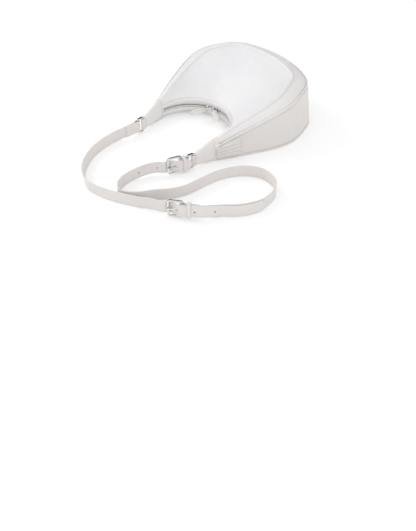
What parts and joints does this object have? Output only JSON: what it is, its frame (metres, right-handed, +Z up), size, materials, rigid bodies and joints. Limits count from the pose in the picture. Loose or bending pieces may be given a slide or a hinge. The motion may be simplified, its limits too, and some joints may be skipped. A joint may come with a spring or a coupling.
{
  "type": "shoulder bag",
  "caption": "Half moon shoulder bag lying on its back, with a curved zip mouth, horn ends on rings and a buckled strap laid out beside it.",
  "frame": {"origin": "on the floor, in the middle of the flat back panel", "axes": "+Z up, out of the front panel; +Y towards the deep bottom edge; the horns and the strap point to -Y"},
  "size_m": [0.3455, 0.4246, 0.0886],
  "materials": {
    "front_leather": "smooth white, soft sheen",
    "body_leather": "smooth warm white, soft sheen",
    "strap_leather": "smooth warm white, painted edges",
    "lining": "woven twill",
    "board": "matt fibre board",
    "zip_tape": "woven tape",
    "zip_teeth": "plated, satin",
    "zip_metal": "polished plate",
    "hardware": "polished plate"
  },
  "bodies": {
    "bag": {"back_panel": "body_leather", "gusset": "body_leather", "gusset_board": "board", "front_field": "front_leather", "front_band": "front_leather", "front_ridge": "front_leather", "front_welt": "front_leather", "back_welt": "body_leather", "front_facing": "front_leather", "back_facing": "body_leather", "lining": "lining", "zip_tape_front": "zip_tape", "zip_tape_back": "zip_tape", "zip_teeth": "zip_teeth", "zip_stops": "zip_teeth", "gusset_patch_left": "body_leather", "gusset_patch_right": "body_leather", "horn_cap_left": "strap_leather", "horn_cap_right": "strap_leather", "cap_loop_left": "strap_leather", "cap_loop_right": "strap_leather", "strap_left": "strap_leather", "strap_right": "strap_leather", "buckle_tab": "strap_leather", "side_keeper": "strap_leather", "front_keeper": "strap_leather"},
    "left_slider": {"zip_slider_left": "zip_metal"},
    "right_slider": {"zip_slider_right": "zip_metal"},
    "left_pull": {"zip_pull_left": "zip_metal"},
    "right_pull": {"zip_pull_right": "zip_metal"},
    "left_tag": {"pull_tag_left": "strap_leather"},
    "right_tag": {"pull_tag_right": "strap_leather"},
    "left_ring": {"ring_left": "hardware"},
    "right_ring": {"ring_right": "hardware"},
    "side_buckle": {"side_buckle_frame": "hardware"},
    "side_prong": {"side_buckle_prong": "hardware"},
    "front_buckle": {"front_buckle_frame": "hardware"},
    "front_prong": {"front_buckle_prong": "hardware"}
  },
  "joints": [
    {"name": "left_slider_travel", "type": "hinge", "parent": "bag", "child": "left_slider", "pos_m": [0, -0.14, 0.0175], "axis": [0, 0, 1], "range_deg": [0, 60]},
    {"name": "right_slider_travel", "type": "hinge", "parent": "bag", "child": "right_slider", "pos_m": [0, -0.14, 0.0175], "axis": [0, 0, 1], "range_deg": [-98, 0]},
    {"name": "left_pull_swing", "type": "hinge", "parent": "left_slider", "child": "left_pull", "pos_m": [-0.02604, -0.08099, 0.0175], "axis": [0, 0, 1], "range_deg": [-35, 6]},
    {"name": "right_pull_swing", "type": "hinge", "parent": "right_slider", "child": "right_pull", "pos_m": [-0.0156, -0.07742, 0.0175], "axis": [0, 0, 1], "range_deg": [-6, 22]},
    {"name": "left_tag_swing", "type": "hinge", "parent": "left_pull", "child": "left_tag", "pos_m": [-0.02466, -0.08988, 0.0175], "axis": [0, 0, 1], "range_deg": [-15, 20]},
    {"name": "right_tag_swing", "type": "hinge", "parent": "right_pull", "child": "right_tag", "pos_m": [-0.01124, -0.08529, 0.0175], "axis": [0, 0, 1], "range_deg": [-50, 4]},
    {"name": "left_ring_swing", "type": "hinge", "parent": "bag", "child": "left_ring", "pos_m": [-0.0567, -0.19453, 0.0144], "axis": [0, 0, 1], "range_deg": [-2, 2]},
    {"name": "right_ring_swing", "type": "hinge", "parent": "bag", "child": "right_ring", "pos_m": [0.07805, -0.18997, 0.0144], "axis": [0, 0, 1], "range_deg": [-2, 2]},
    {"name": "side_buckle_swing", "type": "hinge", "parent": "bag", "child": "side_buckle", "pos_m": [0.07519, -0.21165, 0.0156], "axis": [0, 0, 1], "range_deg": [0, 6]},
    {"name": "side_prong_swing", "type": "hinge", "parent": "side_buckle", "child": "side_prong", "pos_m": [0.07519, -0.21165, 0.0144], "axis": [0, 0, 1], "range_deg": [0, 12]},
    {"name": "front_buckle_swing", "type": "hinge", "parent": "bag", "child": "front_buckle", "pos_m": [0.167, -0.274, 0.0156], "axis": [0, 0, 1], "range_deg": [0, 6]},
    {"name": "front_prong_swing", "type": "hinge", "parent": "front_buckle", "child": "front_prong", "pos_m": [0.167, -0.274, 0.0156], "axis": [0, 0, 1], "range_deg": [0, 12]}
  ]
}
